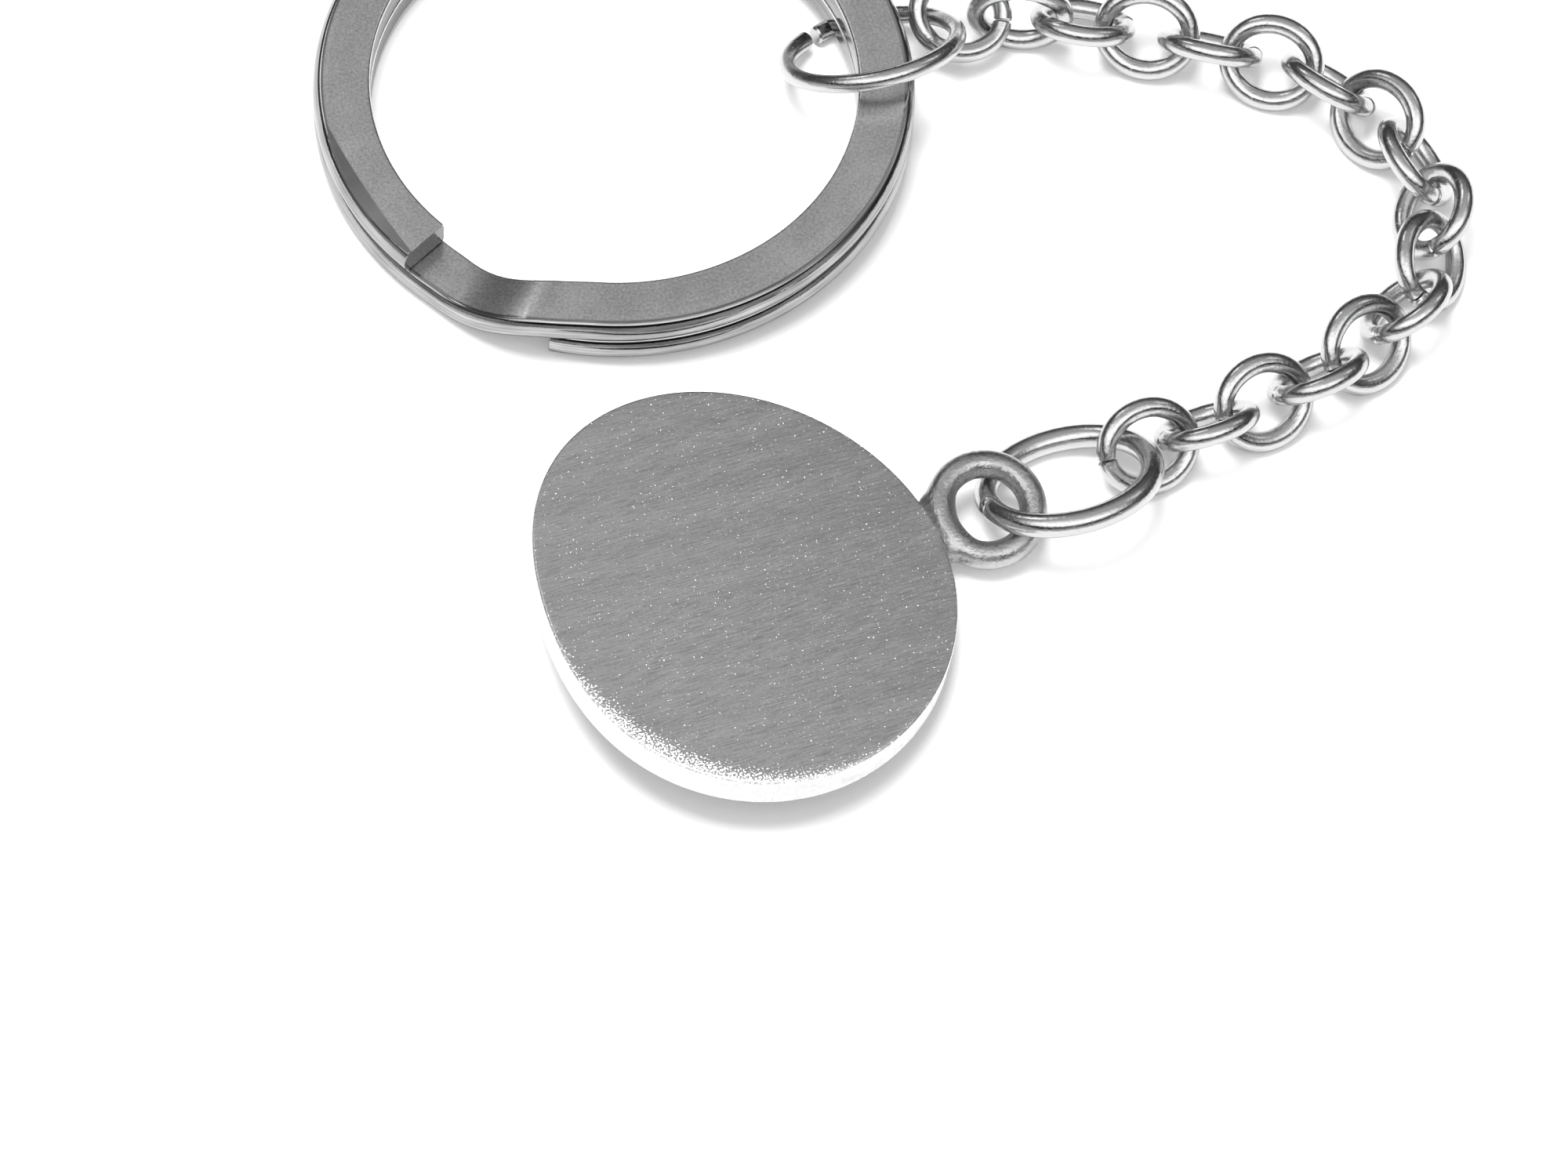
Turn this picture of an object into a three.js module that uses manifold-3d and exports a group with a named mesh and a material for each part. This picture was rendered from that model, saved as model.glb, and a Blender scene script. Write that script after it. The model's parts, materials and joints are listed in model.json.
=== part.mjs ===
// A key ring of polished steel: a flat split ring, an open jump ring, a cable chain of
// oval links, a larger oval ring and a cast pendant with a round eye soldered to its edge.
// It lies on a table with the chain thrown in an arc and the pendant face down.
// Millimetres and degrees. Z is up, the table is at z = 0, and the origin is on it,
// under the middle of the whole.
import * as THREE from 'three';
import { mergeVertices } from 'three/addons/utils/BufferGeometryUtils.js';
import Module from 'manifold-3d';

// Fits
const wireGap = 0.12;              // between two wires that hang in each other
const solderGap = 0.06;            // between the eye and the edge that it is soldered to
const cutOverrun = 0.5;            // how far a cutting tool runs past the piece it cuts

// Split ring: one flat wire wound twice round, with a step up from the lower coil.
// Its angles run along the wire, from its lower cut end to its upper one.
const ringOuterDiameter = 30;
const bandWidth = 2.85;
const coilThickness = 1.4;
const coilGap = 0.06;
const bandCornerRadius = 0.2;
const bandShoulderWidth = 0.6;     // the top's outer edge falls away to a steep facet
const bandShoulderHeight = 0.74;
const shoulderBendShares = [0.5, 0.2];
const lowerEndAngle = -95;
const stepStartAngle = 242;
const stepEndAngle = 264.5;
const upperEndAngle = 594;
const bowStartAngle = 238;
const bowEndAngle = 274;
const stepBow = 0.42;              // the band swings out by this where it climbs
const ringLiftHeading = 35;        // the side that lies on the jump ring's wire

// Jump ring, round and left open a little
const jumpOuterDiameter = 9.65;
const jumpWire = 0.96;
const jumpOpening = 0.55;
const jumpOpeningAngle = 112;
const jumpBandAngle = 19.3;
const jumpInset = 0.45;            // its middle lies this far inside the band's middle
const jumpHeading = 32;
const jumpRollAngle = -35;
const jumpHangAngle = 12;

// Chain of equal links, each with a soldered seam. A heading is the way that a link
// points on the table, and a roll turns it about its own length.
const linkLength = 5.46;
const linkWidth = 4.9;
const linkWire = 1.05;
const linkSeam = 0.05;
const linkHeadings = [7.2, 4.3, 8.9, -4.7, -5, -11, -30, -43, -63, -83, -104, -121, -132, -140, -145, -147, -150];
const linkRolls = [32.6, 87.7, 148.5, 48.9, -45, 45, -45, 45, -45, 45, -45, 45, -45, 45, -45, 45, -45];
const bendShare = 0.28;            // slack where the chain bends, as a share of the wire

// The jump ring holds up the first links, so they lie tipped. Each row has the way from
// the piece before, a pitch, and a lift and slack as shares of the wire.
const firstLinkShares = [
  [22.6, -10.85, 0.857, 0.087],
  [16.9, -2.2, 0.01, 0.204],
  [8.7, -7.1, 0.533, 0.003],
  [-18.9, 1.35, 0.124, -0.127],
];

// Large oval ring between the chain and the eye
const ovalLength = 9.5;
const ovalWidth = 8.5;
const ovalWire = 1.24;
const ovalSeam = 0.05;
const ovalSlack = 0.487;
const ovalHeading = -149.2;
const ovalHangHeading = -136;      // where it lies from the last link's end
const ovalRollAngle = 25.4;
const ovalPitchAngle = -2;

// Eye of thick wire, and the solder that holds it to the pendant's edge
const eyeOuterDiameter = 6;
const eyeWire = 1.44;
const eyeHeading = -148.2;
const eyeRollAngle = -16.7;
const eyePitchAngle = -7.4;
const eyeHangHeading = -167.5;     // where it lies from the oval ring's end
const eyeLift = 0.48;              // it lies on the oval ring's far wire
const eyeSlack = 0.515;
const eyeEmbed = 0.3;
const solderLength = 4.4;
const solderReach = 1.1;
const solderHeight = 1.2;

// Pendant: an oval plate, flat on the back and with a skull in relief on the front
const pendantWidth = 23.3;
const pendantHeight = 20.2;
const pendantTaper = 0.21;         // how far three sides of the outline draw in
const pendantWall = 1.65;
const pendantEdge = 0.14;
const pendantTurnAngle = -9.7;     // the oval lies turned from the eye's direction
const pendantHeading = -148.3;
const pendantPitchAngle = 6;
const pendantRollAngle = 2;
const reliefHeight = 1.3;

// Facets
const wireSides = 8;
const loopSteps = 24;
const bandStepAngle = 5;
const lumpSides = 20;
const outlinePoints = 72;

const radians = THREE.MathUtils.degToRad;
const wasm = await Module();
wasm.setup();

const polishedSteel = { color: 0xb9babc, metalness: 1, roughness: 0.22 };
const brushedSteel = { color: 0x9c9da0, metalness: 1, roughness: 0.42 };
const keyring = new THREE.Group();

function steelMesh(name, geometry, finish) {
  const mesh = new THREE.Mesh(geometry, new THREE.MeshStandardMaterial(finish));
  mesh.name = name;
  return mesh;
}

// Closed solids for joining and cutting

function toSolid(geometry, matrix = new THREE.Matrix4()) {
  const bare = geometry.clone().applyMatrix4(matrix);
  bare.deleteAttribute('normal');
  bare.deleteAttribute('uv');
  const merged = mergeVertices(bare);
  return new wasm.Manifold(new wasm.Mesh({
    numProp: 3,
    vertProperties: new Float32Array(merged.attributes.position.array),
    triVerts: new Uint32Array(merged.index.array),
  }));
}

function toGeometry(solid) {
  const mesh = solid.getMesh();
  const geometry = new THREE.BufferGeometry();
  geometry.setAttribute('position', new THREE.BufferAttribute(mesh.vertProperties, mesh.numProp));
  geometry.setIndex(new THREE.BufferAttribute(mesh.triVerts, 1));
  geometry.computeVertexNormals();
  return geometry;
}

// Loops of round wire

// An oval centre line in its own plane, with a gap at one angle.
class OvalLoop extends THREE.Curve {
  constructor(halfLength, halfWidth, gap, gapAngle) {
    super();
    this.halfLength = halfLength;
    this.halfWidth = halfWidth;
    this.halfGap = gap / (halfLength + halfWidth);
    this.gapAngle = radians(gapAngle);
  }

  getPoint(t, target = new THREE.Vector3()) {
    const angle = this.gapAngle + this.halfGap + t * (2 * Math.PI - 2 * this.halfGap);
    return target.set(this.halfLength * Math.cos(angle), this.halfWidth * Math.sin(angle), 0);
  }
}

function wireLoopGeometry(loop) {
  const section = new THREE.Shape();
  section.absarc(0, 0, loop.wire / 2, 0, 2 * Math.PI);
  const path = new OvalLoop(loop.halfLength, loop.halfWidth, loop.gap, loop.gapAngle);
  return new THREE.ExtrudeGeometry(section, {
    steps: loopSteps,
    curveSegments: wireSides / 2,
    extrudePath: path,
  });
}

function wireLoop({ name, length, width, wire, gap, gapAngle = 0, hangAngle = 0 }) {
  return {
    name,
    wire,
    gap,
    gapAngle,
    hangAngle,
    halfLength: (length - wire) / 2,
    halfWidth: (width - wire) / 2,
  };
}

// A loop's axes: X along it, Y across it, Z out of its plane.
function axesOf(heading, roll, pitch = 0) {
  const turn = new THREE.Euler(radians(roll), radians(-pitch), radians(heading), 'ZYX');
  const matrix = new THREE.Matrix4().makeRotationFromEuler(turn);
  const axes = { matrix, x: new THREE.Vector3(), y: new THREE.Vector3(), z: new THREE.Vector3() };
  matrix.extractBasis(axes.x, axes.y, axes.z);
  return axes;
}

// The height of a loop's middle when its lowest wire touches the table.
function restHeight(loop, axes) {
  return Math.hypot(loop.halfLength * axes.x.z, loop.halfWidth * axes.y.z) + loop.wire / 2;
}

// Adds a loop with its middle at a place, and says where the next piece hangs on it.
function addLoop(loop, middle, axes, hinge) {
  const mesh = steelMesh(loop.name, wireLoopGeometry(loop), polishedSteel);
  mesh.position.copy(middle);
  mesh.quaternion.setFromRotationMatrix(axes.matrix);
  mesh.userData.hinge = hinge;
  keyring.add(mesh);
  const angle = radians(loop.hangAngle);
  const point = middle.clone()
    .addScaledVector(axes.x, loop.halfLength * Math.cos(angle))
    .addScaledVector(axes.y, loop.halfWidth * Math.sin(angle));
  const tangent = new THREE.Vector3()
    .addScaledVector(axes.x, -loop.halfLength * Math.sin(angle))
    .addScaledVector(axes.y, loop.halfWidth * Math.cos(angle))
    .normalize();
  return { parent: loop.name, point, tangent, wire: loop.wire };
}

// The middle of a loop that hangs in a wire and lies on the table. Its near wire lies
// inside the wire that it hangs on, a gap away, at the slope that their heights give.
function hungMiddle(loop, axes, hang, heading, slack = 0, lift = 0) {
  const spacing = (hang.wire + loop.wire) / 2 + wireGap + slack;
  const height = restHeight(loop, axes) + lift;
  const drop = hang.point.z - height + loop.halfLength * axes.x.z;
  const back = Math.sqrt(spacing ** 2 - drop ** 2);
  const reach = loop.halfLength * Math.hypot(axes.x.x, axes.x.y) - back;
  return new THREE.Vector3(
    hang.point.x + reach * Math.cos(radians(heading)),
    hang.point.y + reach * Math.sin(radians(heading)),
    height,
  );
}

// Split ring

const bandRadius = (ringOuterDiameter - bandWidth) / 2;

function smoothStep(value, low, high) {
  const share = THREE.MathUtils.clamp((value - low) / (high - low), 0, 1);
  return share * share * (3 - 2 * share);
}

// The middle of the flat wire. Its section keeps X towards the ring's axis and Y up.
class BandPath extends THREE.Curve {
  getPoint(t, target = new THREE.Vector3()) {
    const angle = THREE.MathUtils.lerp(lowerEndAngle, upperEndAngle, t);
    const climb = smoothStep(angle, stepStartAngle, stepEndAngle);
    const bowShare = THREE.MathUtils.clamp(
      (angle - bowStartAngle) / (bowEndAngle - bowStartAngle), 0, 1,
    );
    const radius = bandRadius + stepBow * Math.sin(Math.PI * bowShare) ** 2;
    return target.set(
      radius * Math.cos(radians(angle)),
      radius * Math.sin(radians(angle)),
      coilThickness / 2 + climb * (coilThickness + coilGap),
    );
  }

  computeFrenetFrames(segments) {
    const frames = { tangents: [], normals: [], binormals: [] };
    for (let i = 0; i <= segments; i += 1) {
      const tangent = this.getTangentAt(i / segments);
      const point = this.getPointAt(i / segments);
      const inward = new THREE.Vector3(-point.x, -point.y, 0);
      const binormal = tangent.clone().cross(inward).normalize();
      frames.tangents.push(tangent);
      frames.binormals.push(binormal);
      frames.normals.push(binormal.clone().cross(tangent));
    }
    return frames;
  }
}

function bandSection() {
  const x = bandWidth / 2 - bandCornerRadius;
  const y = coilThickness / 2 - bandCornerRadius;
  const [bendAcross, bendDown] = shoulderBendShares;
  const section = new THREE.Shape();
  section.absarc(x, y, bandCornerRadius, 0, Math.PI / 2);
  for (const [across, down] of [[0, 0], [bendAcross, bendDown], [1, 1]]) {
    section.lineTo(
      bandShoulderWidth * (1 - across) - bandWidth / 2,
      coilThickness / 2 - bandShoulderHeight * down,
    );
  }
  section.absarc(-x, -y, bandCornerRadius, Math.PI, 1.5 * Math.PI);
  section.absarc(x, -y, bandCornerRadius, 1.5 * Math.PI, 2 * Math.PI);
  return section;
}

// The jump ring's wire lifts the split ring where it passes under the band.
function liftAngle(jump) {
  const slope = Math.sin(radians(Math.abs(jumpRollAngle)));
  const aside = Math.asin(bandWidth / 2 / jump.halfLength);
  const wireTop = jump.wire + jump.halfWidth * slope * (1 - Math.cos(aside));
  return Math.asin((wireTop + wireGap) / (ringOuterDiameter - bandWidth));
}

function addSplitRing(jump) {
  const band = new THREE.ExtrudeGeometry(bandSection(), {
    steps: Math.round((upperEndAngle - lowerEndAngle) / bandStepAngle),
    curveSegments: 1,
    extrudePath: new BandPath(),
  });
  const ring = steelMesh('split_ring', band, brushedSteel);
  const lift = liftAngle(jump);
  const across = radians(ringLiftHeading - 90);
  const axis = new THREE.Vector3(Math.cos(across), Math.sin(across), 0);
  const tilted = new THREE.Group();
  tilted.quaternion.setFromAxisAngle(axis, lift);
  tilted.position.z = (ringOuterDiameter / 2) * Math.sin(lift);
  tilted.add(ring);
  keyring.add(tilted);
  return {
    parent: 'split_ring',
    point: tilted.position.clone(),
    tangent: new THREE.Vector3(0, 0, 1).applyQuaternion(tilted.quaternion),
  };
}

// Pendant

// The plate's outline: an oval, wider across than along, that three sides draw in a little.
function outlineRadius(angle, grow = 0) {
  const mean = (pendantWidth + pendantHeight) / 4;
  const oval = (pendantWidth - pendantHeight) / 4;
  const turned = angle - radians(pendantTurnAngle);
  return mean - oval * Math.cos(2 * turned) - pendantTaper * Math.cos(3 * turned) + grow;
}

function outlineShape(grow) {
  const points = [];
  for (let i = 0; i < outlinePoints; i += 1) {
    const angle = (i / outlinePoints) * 2 * Math.PI;
    const radius = outlineRadius(angle, grow);
    points.push(new THREE.Vector2(radius * Math.cos(angle), radius * Math.sin(angle)));
  }
  return new THREE.Shape(points);
}

// The plate fills z from minus its wall to zero, with its back up.
function plateGeometry() {
  const plate = new THREE.ExtrudeGeometry(outlineShape(-pendantEdge), {
    depth: pendantWall - 2 * pendantEdge,
    bevelEnabled: true,
    bevelThickness: pendantEdge,
    bevelSize: pendantEdge,
    bevelSegments: 1,
  });
  return plate.translate(0, 0, pendantEdge - pendantWall);
}

// The skull's swellings and hollows, as shares of its height and of the relief's:
// place up and across, half sizes up and across, and height or depth.
const skullHeight = 15;
const skullSwellingShares = [
  [0.13, 0, 0.37, 0.4, 1],
  [-0.11, 0.18, 0.1, 0.15, 0.82],
  [-0.11, -0.18, 0.1, 0.15, 0.82],
  [-0.18, 0, 0.24, 0.24, 0.9],
  [-0.36, 0, 0.14, 0.21, 0.76],
];
const skullHollowShares = [
  [0, 0.165, 0.11, 0.125, 0.85],
  [0, -0.165, 0.11, 0.125, 0.85],
  [-0.155, 0.032, 0.075, 0.038, 0.6],
  [-0.155, -0.032, 0.075, 0.038, 0.6],
];
const toothGrooveCount = 5;
const toothGrooveWidthShare = 0.018;
const toothGroovePitchShare = 0.06;
const toothGrooveLengthShare = 0.16;
const biteShare = -0.345;
const toothFloorShare = 0.3;

function ovalLump(up, across, halfUp, halfAcross, height, middleZ) {
  const lump = new THREE.SphereGeometry(1, lumpSides, lumpSides / 2);
  lump.scale(halfUp, halfAcross, height);
  lump.translate(-up, across, middleZ);
  return toSolid(lump);
}

function addSkull(plate) {
  const face = -pendantWall;
  let solid = plate;
  for (const [up, across, halfUp, halfAcross, height] of skullSwellingShares) {
    const lump = ovalLump(
      up * skullHeight, across * skullHeight, halfUp * skullHeight, halfAcross * skullHeight,
      height * reliefHeight, face,
    );
    solid = solid.add(lump);
  }
  for (const [up, across, halfUp, halfAcross, depth] of skullHollowShares) {
    const hollow = ovalLump(
      up * skullHeight, across * skullHeight, halfUp * skullHeight, halfAcross * skullHeight,
      depth * reliefHeight, face - reliefHeight,
    );
    solid = solid.subtract(hollow);
  }
  return solid;
}

function toothGrooves() {
  const width = toothGrooveWidthShare * skullHeight;
  const pitch = toothGroovePitchShare * skullHeight;
  const length = toothGrooveLengthShare * skullHeight;
  const bite = biteShare * skullHeight;
  const depth = 2 * reliefHeight;
  const grooves = [new THREE.BoxGeometry(width, pitch * toothGrooveCount, depth)];
  for (let i = 0; i < toothGrooveCount; i += 1) {
    const groove = new THREE.BoxGeometry(length, width, depth);
    grooves.push(groove.translate(0, (i - (toothGrooveCount - 1) / 2) * pitch, 0));
  }
  const floor = -pendantWall - reliefHeight * toothFloorShare;
  return grooves.map((groove) => toSolid(groove.translate(-bite, 0, floor - depth / 2)));
}

// Assembly, from the split ring along the chain to the pendant

const jump = wireLoop({
  name: 'jump_ring',
  length: jumpOuterDiameter,
  width: jumpOuterDiameter,
  wire: jumpWire,
  gap: jumpOpening,
  gapAngle: jumpOpeningAngle,
  hangAngle: jumpHangAngle,
});
const jumpAxes = axesOf(jumpHeading, jumpRollAngle);
const jumpMiddle = new THREE.Vector3(
  (bandRadius - jumpInset) * Math.cos(radians(jumpBandAngle)),
  (bandRadius - jumpInset) * Math.sin(radians(jumpBandAngle)),
  restHeight(jump, jumpAxes),
);
let hang = addLoop(jump, jumpMiddle, jumpAxes, addSplitRing(jump));

linkHeadings.forEach((heading, i) => {
  const link = wireLoop({
    name: `chain_link_${String(i + 1).padStart(2, '0')}`,
    length: linkLength,
    width: linkWidth,
    wire: linkWire,
    gap: linkSeam,
  });
  const turn = radians(heading - (linkHeadings[i - 1] ?? heading));
  const bend = bendShare * Math.abs(Math.sin(turn));
  const [way, pitch, lift, slack] = firstLinkShares[i] ?? [heading, 0, 0, bend];
  const axes = axesOf(heading, linkRolls[i], pitch);
  const middle = hungMiddle(link, axes, hang, way, slack * linkWire, lift * linkWire);
  hang = addLoop(link, middle, axes, hang);
});

const oval = wireLoop({
  name: 'oval_ring',
  length: ovalLength,
  width: ovalWidth,
  wire: ovalWire,
  gap: ovalSeam,
});
const ovalAxes = axesOf(ovalHeading, ovalRollAngle, ovalPitchAngle);
const ovalMiddle = hungMiddle(oval, ovalAxes, hang, ovalHangHeading, ovalSlack);
hang = addLoop(oval, ovalMiddle, ovalAxes, hang);

const eye = wireLoop({ name: 'soldered_eye', length: eyeOuterDiameter, width: eyeOuterDiameter, wire: eyeWire });
const eyeAxes = axesOf(eyeHeading, eyeRollAngle, eyePitchAngle);
const eyeMiddle = hungMiddle(eye, eyeAxes, hang, eyeHangHeading, eyeSlack, eyeLift);
const skullPlate = toGeometry(
  toothGrooves().reduce((solid, groove) => solid.subtract(groove), addSkull(toSolid(plateGeometry()))),
);
const plateAxes = axesOf(pendantHeading, pendantRollAngle, pendantPitchAngle);
const plateBounds = new THREE.Box3().setFromBufferAttribute(
  skullPlate.attributes.position.clone().applyMatrix4(plateAxes.matrix),
);
const plateReach = outlineRadius(Math.PI) + eyeOuterDiameter / 2 - eyeEmbed;
const plateMatrix = plateAxes.matrix.clone().setPosition(
  eyeMiddle.x + plateReach * Math.cos(radians(pendantHeading)),
  eyeMiddle.y + plateReach * Math.sin(radians(pendantHeading)),
  -plateBounds.min.z,
);

function addPendant() {
  const mesh = steelMesh('pendant', skullPlate, brushedSteel);
  mesh.applyMatrix4(plateMatrix);
  keyring.add(mesh);
}

// The eye and its solder, cut back to the pendant's edge.
function addEye(hinge) {
  const torus = new THREE.TorusGeometry(eye.halfLength, eyeWire / 2, 2 * wireSides - 4, loopSteps + 4);
  const ring = toSolid(torus, eyeAxes.matrix.clone().setPosition(eyeMiddle));
  const bead = new THREE.SphereGeometry(1, 2 * wireSides, wireSides);
  bead.scale(solderReach, solderLength / 2, solderHeight / 2);
  bead.translate(-outlineRadius(Math.PI), 0, -pendantWall / 2);
  const hole = new THREE.CylinderGeometry(
    eye.halfLength - eyeWire / 2, eye.halfLength - eyeWire / 2, 2 * eyeOuterDiameter, loopSteps,
  );
  hole.rotateX(Math.PI / 2);
  const edge = new THREE.ExtrudeGeometry(outlineShape(solderGap), {
    depth: pendantWall + 2 * cutOverrun,
    bevelEnabled: false,
  });
  edge.translate(0, 0, -pendantWall - cutOverrun);
  const solder = toSolid(bead, plateMatrix)
    .subtract(toSolid(hole, eyeAxes.matrix.clone().setPosition(eyeMiddle)));
  const joined = ring.add(solder).subtract(toSolid(edge, plateMatrix));
  const mesh = steelMesh('soldered_eye', toGeometry(joined), brushedSteel);
  mesh.userData.hinge = hinge;
  keyring.add(mesh);
}

addPendant();
addEye(hang);

// It was laid out round the split ring, so it moves to the middle of its own bounds.
const bounds = new THREE.Box3().setFromObject(keyring, true);
const shift = bounds.getCenter(new THREE.Vector3()).setZ(bounds.min.z).negate();
keyring.children.forEach((child) => child.position.add(shift));
keyring.traverse((child) => child.userData.hinge?.point.add(shift));

export default keyring;
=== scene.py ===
"""A key ring of polished steel, lying on a white table.

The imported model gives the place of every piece. Its faceted pieces are replaced here by
fine ones with their welds, cut ends, solder and brushed faces.
"""

import json
import math

import bpy
import numpy as np
from mathutils import Matrix, Vector, noise

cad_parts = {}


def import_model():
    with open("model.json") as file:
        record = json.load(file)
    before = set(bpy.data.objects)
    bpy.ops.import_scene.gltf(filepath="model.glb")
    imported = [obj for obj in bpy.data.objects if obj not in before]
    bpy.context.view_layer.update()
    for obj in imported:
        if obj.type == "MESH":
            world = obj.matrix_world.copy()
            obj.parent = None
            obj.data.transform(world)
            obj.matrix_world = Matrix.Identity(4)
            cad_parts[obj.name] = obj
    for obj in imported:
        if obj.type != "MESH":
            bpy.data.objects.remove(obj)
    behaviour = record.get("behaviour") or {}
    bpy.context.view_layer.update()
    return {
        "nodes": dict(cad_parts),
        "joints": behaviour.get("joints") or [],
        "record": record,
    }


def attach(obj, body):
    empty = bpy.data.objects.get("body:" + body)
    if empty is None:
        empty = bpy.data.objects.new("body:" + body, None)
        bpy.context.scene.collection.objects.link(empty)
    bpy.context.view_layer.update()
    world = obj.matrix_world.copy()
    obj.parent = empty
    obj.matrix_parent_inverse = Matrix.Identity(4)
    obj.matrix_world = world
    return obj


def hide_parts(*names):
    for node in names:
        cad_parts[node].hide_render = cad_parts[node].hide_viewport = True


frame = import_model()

MM = 0.001
JOINTS = {joint["name"]: joint for joint in frame["joints"]}
MOUNTS = {mount["name"]: mount for mount in frame["record"]["mounts"]}

# Sizes are in millimetres and angles in degrees. The main sizes are those of the solid model.

# Split ring: two coils of flat wire, which climbs from the lower to the upper one and bows out there
RING_OUTER = 30
BAND_WIDTH = 2.85
COIL = 1.4
COIL_GAP = 0.06
WIRE_START, WIRE_END = -95, 594
CLIMB_START, CLIMB_END = 242, 264.5
BOW_START, BOW_END = 238, 274
CLIMB_BOW = 0.42
# Its section: small corners inside, and outside a barrel between two rounded edges
BAND_CORNER = 0.17
BAND_EDGE = 0.26
BARREL_ANGLE = 46
BAND_END_ROUNDING = 0.05
BAND_STATIONS = 700
BAND_SHARP_ANGLE = 11.5
# A strip ground along the upper end
GROUND_SPAN = 34
GROUND_WIDTH = 0.5
GROUND_SLOPE = 0.09
# How far round the section its outer side ends, and its inner corner begins
BAND_SIDE, BAND_INSIDE = 1.72, 4.05

# Loops of round wire. The thickness wavers by a share, and the inside is worn, most at the far
# ends. Near the cut the wire is rounded off, and its two ends are a little out of line.
JUMP = {"length": 9.65, "width": 9.65, "wire": 0.96, "gap": 0.55, "gap_angle": 112}
LINK = {"length": 5.46, "width": 4.9, "wire": 1.05, "gap": 0.05, "gap_angle": 0}
OVAL = {"length": 9.5, "width": 8.5, "wire": 1.24, "gap": 0.05, "gap_angle": 0}
LINK_COUNT = 17
LOOP_SIDES = 28
WAVER = 0.006
SEAT_WEAR = 0.045
SEAT_SPREAD = 0.3
CUT_ROUNDING, CUT_REACH = 0.09, 0.1
SEAM_SHIFT, SEAM_REACH = 0.025, 0.35

# Eye and its solder
EYE_OUTER = 6
EYE_WIRE = 1.44
EYE_TURNS, EYE_SIDES = 240, 56
# How far from the plate's side the solder fades out
SOLDER_ANGLE = 34
SOLDER_OVERLAP = 0.06
SOLDER_SWELL = 0.1

# Pendant
PLATE_WIDTH = 23.3
PLATE_HEIGHT = 20.2
PLATE_TAPER = 0.21
PLATE_TURN = -9.7
PLATE_WALL = 1.65
PLATE_EDGE = 0.14
PLATE_TURNS = 360
BACK_RINGS, FRONT_RINGS = 40, 220
# The back's edge is worn most this way from the side away from the eye
EDGE_WEAR = 0.06
WEAR_HEADING = 55
RELIEF = 1.3
SKULL_HEIGHT = 15
BRUSH_TURN = 8.5

# In metres: the cut ends lie this far below zero in V, so a material can tell them from the sides
CAP_DROP = 0.05


# Meshes

def add_mesh(name, points, faces, material, body, replaced, matrix, corner_uv=None):
    mesh = bpy.data.meshes.new(name)
    mesh.from_pydata([tuple(p) for p in points], [], [tuple(f) for f in faces])
    if corner_uv is not None:
        layer = mesh.uv_layers.new(name="UVMap")
        layer.data.foreach_set("uv", np.array(corner_uv, np.float32).ravel())
    mesh.update()
    mesh.shade_smooth()
    piece = bpy.data.objects.new(name, mesh)
    bpy.context.scene.collection.objects.link(piece)
    piece.matrix_world = matrix
    mesh.materials.append(material)
    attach(piece, body)
    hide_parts(*replaced)
    return piece


def grid_faces(rows, columns, close_rows=False, flip=False):
    """Quads over a grid of points, row by row, with each row closed on itself."""
    faces = []
    for i in range(rows if close_rows else rows - 1):
        for j in range(columns):
            a, b = i * columns + j, i * columns + (j + 1) % columns
            k = (i + 1) % rows
            c, d = k * columns + (j + 1) % columns, k * columns + j
            faces.append((d, c, b, a) if flip else (a, b, c, d))
    return faces


def swept(sections, lengths, flip=False):
    """Faces and coordinates of sections swept along a wire: U along it, V round it."""
    n, columns = len(sections), len(sections[0])
    points = [p for section in sections for p in section]
    faces = grid_faces(n, columns, flip=flip)
    girth = [0]
    for j in range(columns):
        step = Vector(sections[0][(j + 1) % columns]) - Vector(sections[0][j])
        girth.append(girth[-1] + step.length)
    uv = []
    for i in range(n - 1):
        for j in range(columns):
            low, high = (lengths[i], girth[j]), (lengths[i + 1], girth[j + 1])
            around = [(low[0], low[1]), (low[0], high[1]), (high[0], high[1]), (high[0], low[1])]
            uv += reversed(around) if flip else around
    caps = (tuple(range(columns)), tuple(reversed(range((n - 1) * columns, n * columns))))
    for cap in caps:
        faces.append(cap)
        uv += [(points[k][0] + points[k][2], points[k][1] - CAP_DROP) for k in cap]
    return points, faces, uv


def sharpen(piece, angle=35):
    """Shades creases over an angle as sharp edges."""
    piece.data.set_sharp_from_angle(angle=math.radians(angle))


def smooth_step(value, low, high):
    share = min(max((value - low) / (high - low), 0), 1)
    return share * share * (3 - 2 * share)


def node_points(name):
    mesh = frame["nodes"][name].data
    points = np.empty(len(mesh.vertices) * 3)
    mesh.vertices.foreach_get("co", points)
    return points.reshape(-1, 3)


def as_matrix(middle, x, y, z):
    return Matrix((
        (x[0], y[0], z[0], middle[0]),
        (x[1], y[1], z[1], middle[1]),
        (x[2], y[2], z[2], middle[2]),
        (0, 0, 0, 1),
    ))


def loop_matrix(name, onward):
    """A loop's place: X along it towards the next piece, and Z out of its plane."""
    points = node_points(name)
    ways = np.linalg.svd(points - points.mean(0), full_matrices=False)[2]
    x, z = ways[0], ways[2]
    if x @ (onward - points.mean(0)) < 0:
        x = -x
    if z[2] < 0:
        z = -z
    y = np.cross(z, x)
    spread = [points @ axis for axis in (x, y, z)]
    middle = sum((s.max() + s.min()) / 2 * axis for s, axis in zip(spread, (x, y, z)))
    return as_matrix(middle, x, y, z)


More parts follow.
